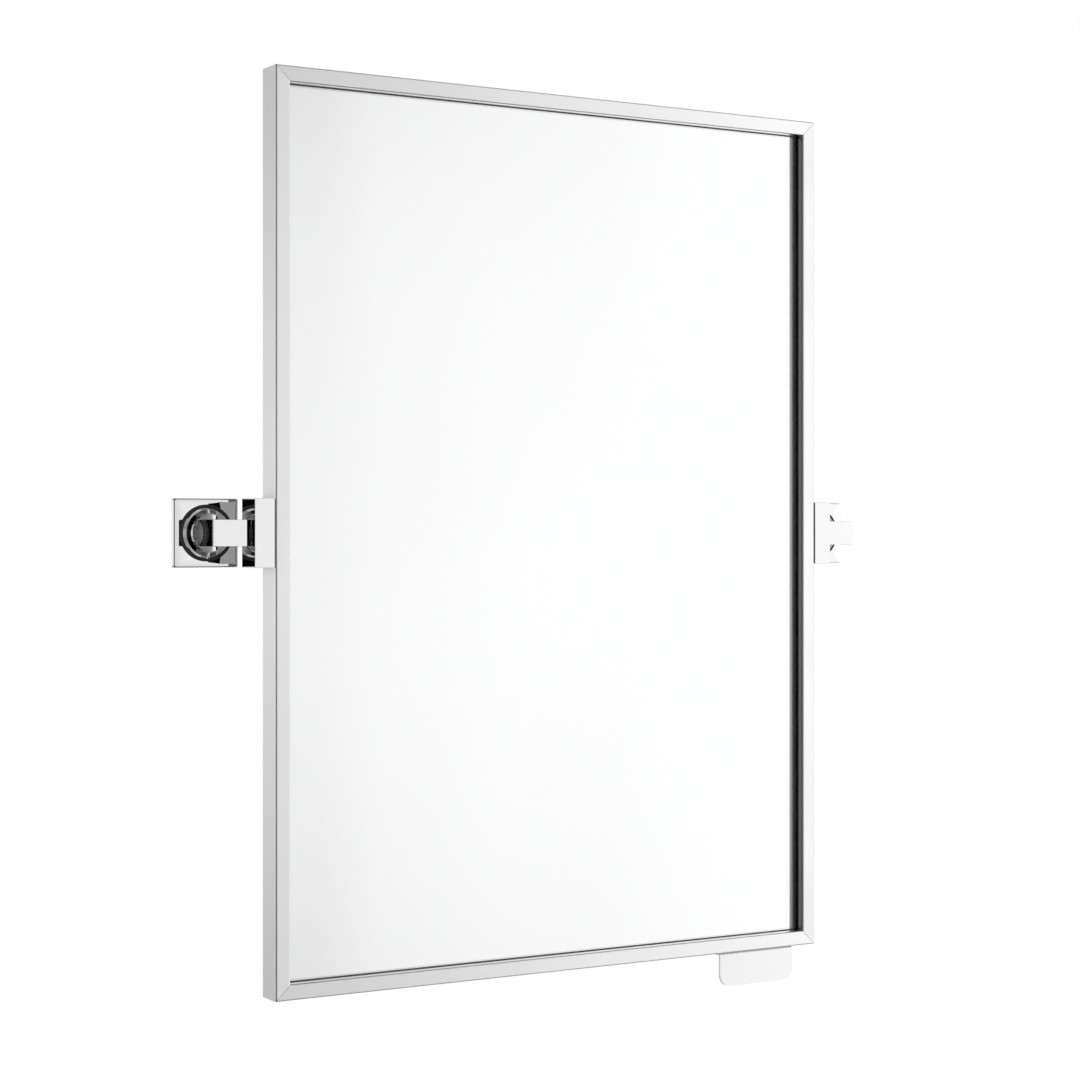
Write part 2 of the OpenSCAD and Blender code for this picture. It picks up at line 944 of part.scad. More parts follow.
top_rail();
bottom_rail();
left_stile();
right_stile();
corner_keys();
key_set_screws();
glazing_tape();
mirror_glass();
silvering();
foam_sheet();
back_panel();
spring_clips();
handle_tab();
tab_screws();
tab_nut_strip();
left_stiffener();
right_stiffener();
left_block_screws();
right_block_screws();
left_gasket();
right_gasket();
left_pivot_block();
right_pivot_block();
left_bush();
right_bush();
left_friction_washer();
right_friction_washer();
left_pivot_pin();
right_pivot_pin();
left_disc_spring();
right_disc_spring();
left_washer();
right_washer();
left_lock_nut();
right_lock_nut();
left_arm();
right_arm();
left_arm_grub();
right_arm_grub();
left_rosette();
right_rosette();
left_rosette_seal();
right_rosette_seal();
left_wall_cover();
right_wall_cover();
left_wall_base();
right_wall_base();
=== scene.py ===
"""Pivot wall mirror: the looks of every piece, the studio round it and the camera."""

from math import cos, pi, radians, sin, sqrt, tan

import bmesh
import bpy
from mathutils import Matrix, Vector
from mathutils.geometry import tessellate_polygon


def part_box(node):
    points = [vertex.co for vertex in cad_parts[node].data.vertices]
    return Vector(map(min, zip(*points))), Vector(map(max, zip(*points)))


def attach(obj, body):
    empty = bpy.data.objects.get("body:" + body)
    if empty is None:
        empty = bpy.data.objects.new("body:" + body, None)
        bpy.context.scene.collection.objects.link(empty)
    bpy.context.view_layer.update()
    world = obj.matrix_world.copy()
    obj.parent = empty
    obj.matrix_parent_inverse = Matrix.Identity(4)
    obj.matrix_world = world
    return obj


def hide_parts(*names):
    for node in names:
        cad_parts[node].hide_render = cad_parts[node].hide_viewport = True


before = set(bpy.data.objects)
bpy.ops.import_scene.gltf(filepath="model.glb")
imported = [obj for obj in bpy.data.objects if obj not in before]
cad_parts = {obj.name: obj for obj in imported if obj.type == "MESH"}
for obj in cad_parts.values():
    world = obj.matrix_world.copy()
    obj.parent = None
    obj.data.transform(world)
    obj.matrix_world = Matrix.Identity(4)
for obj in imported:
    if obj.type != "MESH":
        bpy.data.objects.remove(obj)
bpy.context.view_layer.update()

MM = 0.001
SIDES = {"left": -1, "right": 1}
BRACKET_BODY = "wall_brackets"
MIRROR_BODY = "mirror"

# Rail profile: inward from the rail's outer side, then back from its front
FACE_W = 12 * MM
RAIL_WALL = 1.2 * MM
RAIL_EDGE_R = 1.2 * MM
LIP_DEPTH = 6.45 * MM
LIP_W = 6 * MM
WEB_W = 16 * MM
WEB_FRONT = 18 * MM
REAR_LIP_W = 4 * MM
MITRE_SET_BACK = 0.2 * MM / sqrt(2)

# Pane: its ground edge, and how far the silver keeps in from that edge and reaches into the glass,
# so that light meets it inside
GLASS_ARRIS = 0.5 * MM
SILVER_MARGIN = 0.7 * MM
SILVER_BITE = 0.05 * MM

# Edges of the sheets behind the silver
FOAM_EDGE_R = 0.4 * MM
PANEL_EDGE_R = 0.2 * MM

# Tilt tab; its lower corners turn through so many degrees before the flat lower edge begins
TAB_T = 2 * MM
TAB_BEND_R = 0.6 * MM
TAB_CORNER_R = 10 * MM
TAB_CORNER_SWEEP = 88

# Bracket arm: the pivot's depth behind the front of its block, the spigot and its grub screw, and
# the clearance round them
PIVOT_DEPTH = 12.5 * MM
SPIGOT_R = 7 * MM
GRUB_R = 1.5 * MM
FIT = 0.05 * MM

# Rosette: radii from its axis and heights from its foot
SHOULDER_R, SHOULDER_H = 17.7 * MM, 3.1 * MM
STEP_R, STEP_TOP_R, STEP_RISE = 14.8 * MM, 14.1 * MM, 1.7 * MM
HOLLOW_R = 14 * MM
SEAT_RISE = 0.7 * MM
SEAT_WALL = 1.6 * MM
CONE_SLOPE = radians(30)
FOOT_EDGE_R, SHOULDER_EDGE_R, STEP_EDGE_R = 0.2 * MM, 0.5 * MM, 0.4 * MM
SEAL_EDGE_R = 0.35 * MM

# Wall cover: its rounded front edge, the shallow bevel inside it and the corners of its square
COVER_EDGE_R = 1 * MM
COVER_BEVEL_W, COVER_BEVEL_D = 4.5 * MM, 0.25 * MM
COVER_WALL = 1.2 * MM
COVER_CORNER_R, BEVEL_CORNER_R, INNER_CORNER_R = 0.5 * MM, 0.3 * MM, 0.4 * MM
COVER_EDGE_STEPS = 5
SOCKET_HOLE_R = 12.3 * MM

# Rounding of edges that were cut, and of those that were dressed by hand
CUT_EDGE = 0.12 * MM
DRESSED_EDGE = 0.25 * MM

# Turn past which an edge is sharp, and turn up to which two faces count as one
SHARP = radians(40)
FLAT = radians(1)

# Steps of arcs, and sides of round pieces and holes
ARC_STEPS = 10
COLLAR_SIDES = 144
COVER_SIDES = 192
SPIGOT_SIDES = 48
HOLE_SIDES = 32

# Radius that a solid turned piece keeps at its axis, and how far a cutter reaches past its work
AXIS_R = 0.01 * MM
OVERSHOOT = 1 * MM


# ---------------------------------------------------------------- mesh helpers

def arc(centre, radius, start, end, steps):
    """Points along a circle, from one angle to another, in degrees."""
    turn = [radians(start + (end - start) * i / steps) for i in range(steps + 1)]
    return [(centre[0] + radius * cos(a), centre[1] + radius * sin(a)) for a in turn]


def rounded_outline(corners, steps=6):
    """Outline through corners given as (x, y, radius), each rounded by its own arc."""
    outline = []
    count = len(corners)
    for i, (x, y, radius) in enumerate(corners):
        if radius == 0:
            outline.append((x, y))
            continue
        here = Vector((x, y))
        before = (Vector(corners[i - 1][:2]) - here).normalized()
        after = (Vector(corners[(i + 1) % count][:2]) - here).normalized()
        half = before.angle(after) / 2
        centre = here + (before + after).normalized() * radius / sin(half)
        first = here + before * radius / tan(half) - centre
        sweep = pi - 2 * half
        if before.x * after.y - before.y * after.x > 0:
            sweep = -sweep
        for k in range(steps + 1):
            spoke = Matrix.Rotation(sweep * k / steps, 2) @ first
            outline.append(tuple(centre + spoke))
    return outline


def join_rows(bm, low, high):
    """Faces between two closed rows that have equally many corners."""
    for i in range(len(low)):
        j = (i + 1) % len(low)
        bm.faces.new((low[i], low[j], high[j], high[i]))


def loft(bm, rings):
    """Skin over rings that have equally many points, closed at both ends."""
    rows = [[bm.verts.new(point) for point in ring] for ring in rings]
    for low, high in zip(rows, rows[1:]):
        join_rows(bm, low, high)
    for row, turned in ((rows[0], True), (rows[-1], False)):
        for a, b, c in tessellate_polygon([[v.co for v in row]]):
            corners = (row[a], row[b], row[c])
            bm.faces.new(corners[::-1] if turned else corners)


def hoop(bm, rings):
    """Skin over rings in which the last one is joined to the first."""
    rows = [[bm.verts.new(point) for point in ring] for ring in rings]
    for low, high in zip(rows, rows[1:] + rows[:1]):
        join_rows(bm, low, high)


def lathe(bm, profile, place, sides):
    """Closed turned shape about Y: profile has (radius, y) points, and place is its centre."""
    turn = [2 * pi * i / sides for i in range(sides)]
    hoop(bm, [[place + Vector((radius * cos(a), y, radius * sin(a))) for a in turn]
              for radius, y in profile])


def box_mesh(bm, lo, hi):
    """Six faces between two opposite corners."""
    ring = [(lo.x, lo.y), (hi.x, lo.y), (hi.x, hi.y), (lo.x, hi.y)]
    loft(bm, [[Vector((x, y, z)) for x, y in ring] for z in (lo.z, hi.z)])


def bevel_all(bm, radius, steps=4):
    """Rounds every sharp edge of the mesh."""
    bm.normal_update()
    bmesh.ops.dissolve_limit(bm, angle_limit=FLAT, verts=bm.verts, edges=bm.edges)
    sharp = [e for e in bm.edges if len(e.link_faces) == 2 and e.calc_face_angle() > SHARP]
    bmesh.ops.bevel(bm, geom=sharp, offset=radius, segments=steps, profile=0.5,
                    affect="EDGES", clamp_overlap=True)


def piece(name, bm, body, slot, nodes, *finishes):
    """One dressed piece, which rides on its body and stands for its CAD nodes."""
    bmesh.ops.recalc_face_normals(bm, faces=bm.faces)
    mesh = bpy.data.meshes.new(name)
    bm.to_mesh(mesh)
    bm.free()
    obj = bpy.data.objects.new(name, mesh)
    bpy.context.scene.collection.objects.link(obj)
    for finish in finishes:
        mesh.materials.append(finish)
    mesh.shade_smooth()
    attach(obj, body)
    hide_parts(*nodes)
    return obj


def block_cutter(lo, hi):
    """Square cutter between two opposite corners."""
    bm = bmesh.new()
    box_mesh(bm, lo, hi)
    return bm


def rod_cutter(foot, length, radius):
    """Round cutter that stands upright on its foot."""
    bm = bmesh.new()
    turn = [2 * pi * i / HOLE_SIDES for i in range(HOLE_SIDES)]
    ring = [Vector((radius * cos(a), radius * sin(a), 0)) for a in turn]
    loft(bm, [[foot + spoke + Vector((0, 0, rise)) for spoke in ring] for rise in (0, length)])
    return bm


def cut_out(obj, *cutters):
    """Takes the cutters out of the piece: its bores, wells and seats."""
    for bm in cutters:
        bmesh.ops.recalc_face_normals(bm, faces=bm.faces)
        mesh = bpy.data.meshes.new("cutter")
        bm.to_mesh(mesh)
        bm.free()
        tool = bpy.data.objects.new("cutter", mesh)
        bpy.context.scene.collection.objects.link(tool)
        cut = obj.modifiers.new("cut", "BOOLEAN")
        cut.object = tool
        cut.solver = "EXACT"
        bpy.context.view_layer.update()
        worked = obj.evaluated_get(bpy.context.evaluated_depsgraph_get())
        shaped = bpy.data.meshes.new_from_object(worked)
        obj.modifiers.remove(cut)
        old = obj.data
        obj.data = shaped
        shaped.name = obj.name
        bpy.data.meshes.remove(old)
        bpy.data.objects.remove(tool)
        bpy.data.meshes.remove(mesh)
    obj.data.shade_smooth()


def even_normals(obj):
    """Flat faces shade flat and the rounding between them shades round."""
    even = obj.modifiers.new("even_normals", "WEIGHTED_NORMAL")
    even.weight = 100
    even.keep_sharp = True


def fine_edges(obj, radius=CUT_EDGE, steps=2):
    """Takes the sharpness off the edges of a cut or drilled piece."""
    edges = obj.modifiers.new("fine_edges", "BEVEL")
    edges.width = radius
    edges.segments = steps
    edges.limit_method = "ANGLE"
    edges.angle_limit = SHARP
    edges.use_clamp_overlap = True
    even_normals(obj)


def box_mid(node):
    """Middle of a CAD node's box."""
    lo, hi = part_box(node)
    return (lo + hi) / 2


# ---------------------------------------------------------------- node helpers

def feed(tree, socket, value):
    """Gives a socket a plain value, or a link from another node's output."""
    if isinstance(value, bpy.types.NodeSocket):
        tree.links.new(value, socket)
    else:
        socket.default_value = value


def add(tree, kind, **inputs):
    """New node, its inputs set by name, or by number after an underscore."""
    made = tree.nodes.new(kind)
    for name, value in inputs.items():
        key = int(name[1:]) if name[0] == "_" else name.replace("_", " ")
        feed(tree, made.inputs[key], value)
    return made


def maths(tree, operation, *values):
    """Result of one sum, whose values are numbers or sockets."""
    made = tree.nodes.new("ShaderNodeMath")
    made.operation = operation
    for socket, value in zip(made.inputs, values):
        feed(tree, socket, value)
    return made.outputs[0]


def span(tree, value, low, high, to_low, to_high, smooth=False):
    """Value moved from one range to another, and held at its ends."""
    made = add(tree, "ShaderNodeMapRange", _0=value, _1=low, _2=high, _3=to_low, _4=to_high)
    if smooth:
        made.interpolation_type = "SMOOTHSTEP"
    return made.outputs[0]


def vary(tree, mask, low, high):
    """Value that goes from low, where the mask is 0, to high, where it is 1."""
    return span(tree, mask, 0.0, 1.0, low, high)


def draw_out(tree, noise, reach, smooth=False):
    """Noise, which lies closely round one half, drawn out into a mask of 0 to 1."""
    return span(tree, noise, 0.5 - reach, 0.5 + reach, 0.0, 1.0, smooth)


def blend(tree, first, second, share):
    """Two values mixed; share is how much of the second goes in."""
    rest = maths(tree, "MULTIPLY", first, 1 - share)
    return maths(tree, "ADD", rest, maths(tree, "MULTIPLY", second, share))


def tone(tree, mask, dark, light):
    """Colour between two greys or tints."""
    made = tree.nodes.new("ShaderNodeMix")
    made.data_type = "RGBA"
    tree.links.new(mask, made.inputs["Factor"])
    made.inputs["A"].default_value = (*dark, 1)
    made.inputs["B"].default_value = (*light, 1)
    return made.outputs["Result"]


def grey(value):
    """Neutral colour."""
    return (value,) * 3


# ---------------------------------------------------------------- shared effects

def effect(name, inputs, outputs):
    """Empty shader node group: gives it, the sockets of what it gets and those of what it puts out."""
    group = bpy.data.node_groups.new(name, "ShaderNodeTree")
    for label, kind, value in inputs:
        socket = group.interface.new_socket(label, in_out="INPUT", socket_type=kind)
        socket.default_value = value
    for label in outputs:
        group.interface.new_socket(label, in_out="OUTPUT", socket_type="NodeSocketFloat")
    return group, group.nodes.new("NodeGroupInput").outputs, group.nodes.new("NodeGroupOutput").inputs


def make_brushing():
    """Fine parallel lines: Lines gives how many there are per metre along each axis."""
    group, given, out = effect(
        "brushing",
        [("Place", "NodeSocketVector", (0, 0, 0)), ("Lines", "NodeSocketVector", (1, 1, 1))],
        ["Streaks", "Height"])
    stretched = add(group, "ShaderNodeVectorMath", _0=given["Place"], _1=given["Lines"])
    stretched.operation = "MULTIPLY"
    coarse = add(group, "ShaderNodeTexNoise", Vector=stretched.outputs[0], Scale=1.0, Detail=2.0)
    fine = add(group, "ShaderNodeTexNoise", Vector=stretched.outputs[0], Scale=3.7, Detail=3.0)
    both = blend(group, coarse.outputs[0], fine.outputs[0], share=0.55)
    group.links.new(draw_out(group, both, reach=0.18), out["Streaks"])
    group.links.new(both, out["Height"])
    return group


def make_clouding():
    """Broad soft patches, such as the faint haze that handling leaves."""
    group, given, out = effect(
        "clouding",
        [("Place", "NodeSocketVector", (0, 0, 0)), ("Patches", "NodeSocketFloat", 20.0)],
        ["Cloud"])
    noise = add(group, "ShaderNodeTexNoise", Vector=given["Place"], Scale=given["Patches"], Detail=3.0)
    group.links.new(draw_out(group, noise.outputs[0], reach=0.15, smooth=True), out["Cloud"])
    return group


def make_grit():
    """Small even grain for moulded, foamed and painted surfaces."""
    group, given, out = effect(
        "grit",
        [("Place", "NodeSocketVector", (0, 0, 0)), ("Grains", "NodeSocketFloat", 2000.0)],
        ["Grain"])
    noise = add(group, "ShaderNodeTexNoise", Vector=given["Place"], Scale=given["Grains"], Detail=2.0)
    group.links.new(draw_out(group, noise.outputs[0], reach=0.2), out["Grain"])
    return group


BRUSHING = make_brushing()
CLOUDING = make_clouding()
GRIT = make_grit()


def use(tree, group, place, **inputs):
    """Places a shared effect in a material."""
    made = tree.nodes.new("ShaderNodeGroup")
    made.node_tree = group
    tree.links.new(place, made.inputs["Place"])
    for name, value in inputs.items():
        made.inputs[name].default_value = value
    return made.outputs


def surface(name, **plain):
    """New material: gives it, its tree, its Principled BSDF and the object's coordinates."""
    made = bpy.data.materials.new(name)
    made.use_nodes = True
    tree = made.node_tree
    shader = tree.nodes["Principled BSDF"]
    for label, value in plain.items():
        shader.inputs[label.replace("_", " ")].default_value = value
    place = tree.nodes.new("ShaderNodeTexCoord").outputs["Object"]
    return made, tree, shader, place


def set_bump(tree, shader, height, strength, distance):
    """Relief on the shader's normal."""
    bump = add(tree, "ShaderNodeBump", Strength=strength, Distance=distance, Height=height)
    tree.links.new(bump.outputs["Normal"], shader.inputs["Normal"])


# ---------------------------------------------------------------- finishes

# Brushed steel of the frame: its tones, how rough its faces and its lips are, and how far the
# highlights of each spread across the lines
STEEL_LIGHT, STEEL_DARK = 0.89, 0.85
FACE_ROUGH, FACE_SPREAD = 0.35, 0.5
LIP_ROUGH, LIP_SPREAD = 0.18, 0.6
# Share by which the grain makes steel rougher or smoother, and how much roughness the haze adds
GRAIN_SWING = 0.1
HAZE_ROUGH = 0.03
# Fine lines of the brushing per metre, across and along, and its broad bands as a share of them
LINES_ACROSS, LINES_ALONG = 2600.0, 14.0
BAND_SHARE = 0.12
# Lean of a stile's lip at its front, as a slope
LIP_LEAN = 0.42


def brushed_steel(name, along, rough, spread):
    """Steel brushed along one axis; its highlights spread across the lines."""
    made, tree, shader, place = surface(name, Metallic=1.0, Anisotropic=spread)
    lines = Vector((LINES_ACROSS,) * 3)
    lines["XYZ".index(along)] = LINES_ALONG
    grain = use(tree, BRUSHING, place, Lines=lines)
    bands = use(tree, BRUSHING, place, Lines=lines * BAND_SHARE)
    haze = use(tree, CLOUDING, place, Patches=9.0)
    mixed = blend(tree, grain["Streaks"], bands["Streaks"], share=0.5)
    tree.links.new(tone(tree, mixed, grey(STEEL_DARK), grey(STEEL_LIGHT)), shader.inputs["Base Color"])
    lined = vary(tree, grain["Streaks"], rough * (1 - GRAIN_SWING), rough * (1 + GRAIN_SWING))
    hazed = maths(tree, "ADD", lined, vary(tree, haze["Cloud"], 0.0, HAZE_ROUGH))
    tree.links.new(hazed, shader.inputs["Roughness"])
    set_bump(tree, shader, grain["Height"], strength=0.12, distance=0.02 * MM)
    tangent = tree.nodes.new("ShaderNodeTangent")
    tangent.direction_type = "RADIAL"
    tangent.axis = along
    tree.links.new(tangent.outputs[0], shader.inputs["Tangent"])
    return made


def rolled_lip():
    """Brushed side of a stile's opening: it rolls in towards the glass, with less and less lean."""
    made = brushed_steel("brushed_steel_lip_upright", "Z", LIP_ROUGH, LIP_SPREAD)
    tree = made.node_tree
    place = tree.nodes.new("ShaderNodeTexCoord").outputs["Object"]
    back = add(tree, "ShaderNodeSeparateXYZ", Vector=place).outputs["Y"]
    before_glass = maths(tree, "SUBTRACT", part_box("mirror_glass")[0].y, back)
    squared = maths(tree, "POWER", before_glass, 2.0)
    roll = maths(tree, "MULTIPLY", squared, -LIP_LEAN / (2 * LIP_DEPTH))
    lean = add(tree, "ShaderNodeBump", Strength=1.0, Distance=1.0, Height=roll)
    grain = tree.nodes["Principled BSDF"].inputs["Normal"].links[0].from_node
    tree.links.new(lean.outputs["Normal"], grain.inputs["Normal"])
    return made


def bright_chrome():
    """Polished chrome plate with a faint haze."""
    made, tree, shader, place = surface("bright_chrome", Metallic=1.0)
    haze = use(tree, CLOUDING, place, Patches=60.0)
    tree.links.new(tone(tree, haze["Cloud"], grey(0.87), grey(0.89)), shader.inputs["Base Color"])
    tree.links.new(vary(tree, haze["Cloud"], 0.02, 0.045), shader.inputs["Roughness"])
    return made


def silver_mirror():
    """Silver on the back of the pane, seen through the glass."""
    made, tree, shader, place = surface("silver_mirror", Metallic=1.0, Roughness=0.0)
    haze = use(tree, CLOUDING, place, Patches=3.0)
    tree.links.new(tone(tree, haze["Cloud"], grey(0.945), grey(0.955)), shader.inputs["Base Color"])
    return made


def grey_back_coat():
    """Painted coat that protects the silver from behind."""
    made, tree, shader, place = surface("grey_back_coat", Roughness=0.55)
    grain = use(tree, GRIT, place, Grains=900.0)
    painted = tone(tree, grain["Grain"], dark=(0.20, 0.21, 0.22), light=(0.26, 0.27, 0.28))
    tree.links.new(painted, shader.inputs["Base Color"])
    set_bump(tree, shader, grain["Grain"], strength=0.15, distance=0.05 * MM)
    return made


def float_glass():
    """Clear polished pane, with hardly any tint."""
    made, tree, shader, place = surface(
        "float_glass", Metallic=0.0, Roughness=0.0, IOR=1.52, Transmission_Weight=1.0)
    haze = use(tree, CLOUDING, place, Patches=5.0)
    tint = tone(tree, haze["Cloud"], dark=(0.985, 0.99, 0.99), light=(0.99, 0.995, 0.995))
    tree.links.new(tint, shader.inputs["Base Color"])
    return made


def white_foam():
    """Sheet of closed-cell foam."""
    made, tree, shader, place = surface("white_foam", Roughness=0.85)
    cells = add(tree, "ShaderNodeTexVoronoi", Vector=place, Scale=900.0).outputs["Distance"]
    foamed = tone(tree, cells, dark=(0.74, 0.74, 0.71), light=(0.88, 0.88, 0.86))
    tree.links.new(foamed, shader.inputs["Base Color"])
    set_bump(tree, shader, cells, strength=0.3, distance=0.2 * MM)
    return made


def galvanised_steel():
    """Zinc-coated sheet: each crystal of the spangle has its own tone and gloss."""
    made, tree, shader, place = surface("galvanised_steel", Metallic=1.0)
    crystals = add(tree, "ShaderNodeTexVoronoi", Vector=place, Scale=110.0)
    shade = add(tree, "ShaderNodeSeparateColor", Color=crystals.outputs["Color"]).outputs[0]
    haze = use(tree, CLOUDING, place, Patches=7.0)
    mixed = blend(tree, shade, haze["Cloud"], share=0.3)
    zinc = tone(tree, mixed, dark=(0.50, 0.52, 0.54), light=(0.68, 0.70, 0.71))
    tree.links.new(zinc, shader.inputs["Base Color"])
    tree.links.new(vary(tree, mixed, 0.5, 0.34), shader.inputs["Roughness"])
    set_bump(tree, shader, shade, strength=0.08, distance=0.05 * MM)
    return made


def rubber(name, dark, light):
    """Matt rubber with a fine grain."""
    made, tree, shader, place = surface(name, Roughness=0.75)
    grain = use(tree, GRIT, place, Grains=2600.0)
    tree.links.new(tone(tree, grain["Grain"], grey(dark), grey(light)), shader.inputs["Base Color"])
    set_bump(tree, shader, grain["Grain"], strength=0.25, distance=0.05 * MM)
    return made


def nylon(name, dark, light):
    """Moulded nylon with a soft gloss."""
    made, tree, shader, place = surface(name, Roughness=0.42)
    grain = use(tree, GRIT, place, Grains=1800.0)
    tree.links.new(tone(tree, grain["Grain"], dark, light), shader.inputs["Base Color"])
    set_bump(tree, shader, grain["Grain"], strength=0.1, distance=0.04 * MM)
    return made


def inner_steel():
    """Zinc-plated steel with the lines of the mill along it and a clouded passivated coat."""
    made, tree, shader, place = surface("inner_steel", Metallic=1.0)
    haze = use(tree, CLOUDING, place, Patches=35.0)
    lines = use(tree, BRUSHING, place, Lines=(900.0, 900.0, 60.0))
    mixed = blend(tree, haze["Cloud"], lines["Streaks"], share=0.4)
    plated = tone(tree, mixed, dark=(0.46, 0.48, 0.50), light=(0.66, 0.67, 0.66))
    tree.links.new(plated, shader.inputs["Base Color"])
    tree.links.new(vary(tree, mixed, 0.44, 0.3), shader.inputs["Roughness"])
    set_bump(tree, shader, lines["Height"], strength=0.1, distance=0.04 * MM)
    return made


def turned_steel(name, dark, light, rough):
    """Small parts from the lathe or the press: a fine grain and a soft gloss."""
    made, tree, shader, place = surface(name, Metallic=1.0)
    lines = use(tree, BRUSHING, place, Lines=(2400.0,) * 3)
    haze = use(tree, CLOUDING, place, Patches=150.0)
    tree.links.new(tone(tree, haze["Cloud"], dark, light), shader.inputs["Base Color"])
    tree.links.new(vary(tree, lines["Streaks"], rough, rough * 1.4), shader.inputs["Roughness"])
    set_bump(tree, shader, lines["Height"], strength=0.08, distance=0.03 * MM)
    return made


STEEL_ACROSS = brushed_steel("brushed_steel_across", "X", FACE_ROUGH, FACE_SPREAD)
STEEL_UPRIGHT = brushed_steel("brushed_steel_upright", "Z", FACE_ROUGH, FACE_SPREAD)
STEEL_LIP_ACROSS = brushed_steel("brushed_steel_lip_across", "X", LIP_ROUGH, LIP_SPREAD)
STEEL_LIP_UPRIGHT = rolled_lip()
CHROME = bright_chrome()
SILVER = silver_mirror()
BACK_COAT = grey_back_coat()
GLASS = float_glass()
FOAM = white_foam()
GALVANISED = galvanised_steel()
RUBBER = rubber("black_rubber", 0.012, 0.03)
# Rubber of a mid grey for the gaskets beside the blocks and for the glazing tape; the gaskets' grey
# sets how dark the line beside each block reads
GREY_RUBBER = rubber("grey_rubber", 0.10, 0.17)
WHITE_NYLON = nylon("white_nylon", (0.74, 0.73, 0.69), (0.84, 0.83, 0.79))
BLACK_NYLON = nylon("black_nylon", (0.012, 0.012, 0.013), (0.03, 0.03, 0.032))
INNER_STEEL = inner_steel()
SPRING_STEEL = turned_steel("spring_steel", (0.34, 0.34, 0.36), (0.46, 0.46, 0.47), 0.3)
SCREW_STEEL = turned_steel("screw_steel", (0.58, 0.58, 0.58), (0.70, 0.70, 0.69), 0.22)


# ---------------------------------------------------------------- mirror pieces

def rail_section():
    """Section of a rail as (inward, back) points."""
    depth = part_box("left_stile")[1].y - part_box("left_stile")[0].y
    inner = FACE_W - RAIL_WALL
    lip_end = FACE_W - LIP_W
    lip_front = LIP_DEPTH - RAIL_WALL
    web_back = WEB_FRONT + RAIL_WALL
    rear_in = depth - RAIL_WALL
    face = [(0, 0, RAIL_EDGE_R), (FACE_W, 0, RAIL_EDGE_R)]
    lip = [(FACE_W, LIP_DEPTH, 0), (lip_end, LIP_DEPTH, 0), (lip_end, lip_front, 0),
           (inner, lip_front, 0), (inner, RAIL_WALL, 0), (RAIL_WALL, RAIL_WALL, 0)]
    web = [(RAIL_WALL, WEB_FRONT, 0), (WEB_W, WEB_FRONT, 0),
           (WEB_W, web_back, 0), (RAIL_WALL, web_back, 0)]
    rear = [(RAIL_WALL, rear_in, 0), (REAR_LIP_W, rear_in, 0),
            (REAR_LIP_W, depth, 0), (0, depth, RAIL_EDGE_R)]
    return rounded_outline(face + lip + web + rear, ARC_STEPS)


def rail(name, node, turn, finish, lip_finish):
    """Mitred rail; turn 0 is the bottom one and 90 degrees more is the next one clockwise."""
    half_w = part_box("right_stile")[1].x
    half_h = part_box("top_rail")[1].z
    half_length, outer = (half_w, half_h) if turn % 180 == 0 else (half_h, half_w)
    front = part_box(node)[0].y
    turned = Matrix.Rotation(radians(turn), 3, "Y")
    rings = []
    for end in (-1, 1):
        ring = []
        for inward, back in rail_section():
            along = end * (half_length - MITRE_SET_BACK - inward)
            ring.append(turned @ Vector((along, front + back, inward - outer)))
        rings.append(ring)
    bm = bmesh.new()
    loft(bm, rings)
    bmesh.ops.dissolve_limit(bm, angle_limit=FLAT, verts=bm.verts, edges=bm.edges)
    made = piece(name, bm, MIRROR_BODY, "frame_steel", [node], finish, lip_finish)
    for polygon in made.data.polygons:
        place = turned.transposed() @ polygon.center
        on_lip = abs(place.z + outer - FACE_W) < CUT_EDGE and place.y < front + LIP_DEPTH
        polygon.material_index = 1 if on_lip else 0
    fine_edges(made)


def make_frame():
    """Two rails and two stiles, brushed along their length."""
    rail("frame_bottom_rail", "bottom_rail", 0, STEEL_ACROSS, STEEL_LIP_ACROSS)
    rail("frame_left_stile", "left_stile", 90, STEEL_UPRIGHT, STEEL_LIP_UPRIGHT)
    rail("frame_top_rail", "top_rail", 180, STEEL_ACROSS, STEEL_LIP_ACROSS)
    rail("frame_right_stile", "right_stile", -90, STEEL_UPRIGHT, STEEL_LIP_UPRIGHT)


def make_pane():
    """Glass with ground edges."""
    bm = bmesh.new()
    box_mesh(bm, *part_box("mirror_glass"))
    bevel_all(bm, GLASS_ARRIS, steps=1)
    pane = piece("mirror_pane", bm, MIRROR_BODY, "clear_glass", ["mirror_glass"], GLASS)
    pane.data.shade_flat()


def make_silver():
    """Silver that faces the glass, with its painted coat on the other sides."""
    lo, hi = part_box("silvering")
    margin = Vector((SILVER_MARGIN, 0, SILVER_MARGIN))
    bite = Vector((0, SILVER_BITE, 0))
    bm = bmesh.new()
    box_mesh(bm, lo + margin - bite, hi - margin)
    silver = piece("mirror_silver", bm, MIRROR_BODY, "silvered_coat", ["silvering"], SILVER, BACK_COAT)
    silver.data.shade_flat()
    for polygon in silver.data.polygons:
        to_front = -polygon.normal.y
        polygon.material_index = 0 if to_front > 0.5 else 1


def make_backing():
    """Foam sheet and steel panel behind the silver."""
    for name, node, slot, finish, edge_r in (
            ("backing_foam", "foam_sheet", "white_foam", FOAM, FOAM_EDGE_R),
            ("backing_panel", "back_panel", "galvanised_steel", GALVANISED, PANEL_EDGE_R)):
        bm = bmesh.new()
        box_mesh(bm, *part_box(node))
        bevel_all(bm, edge_r, steps=2)
        even_normals(piece(name, bm, MIRROR_BODY, slot, [node], finish))


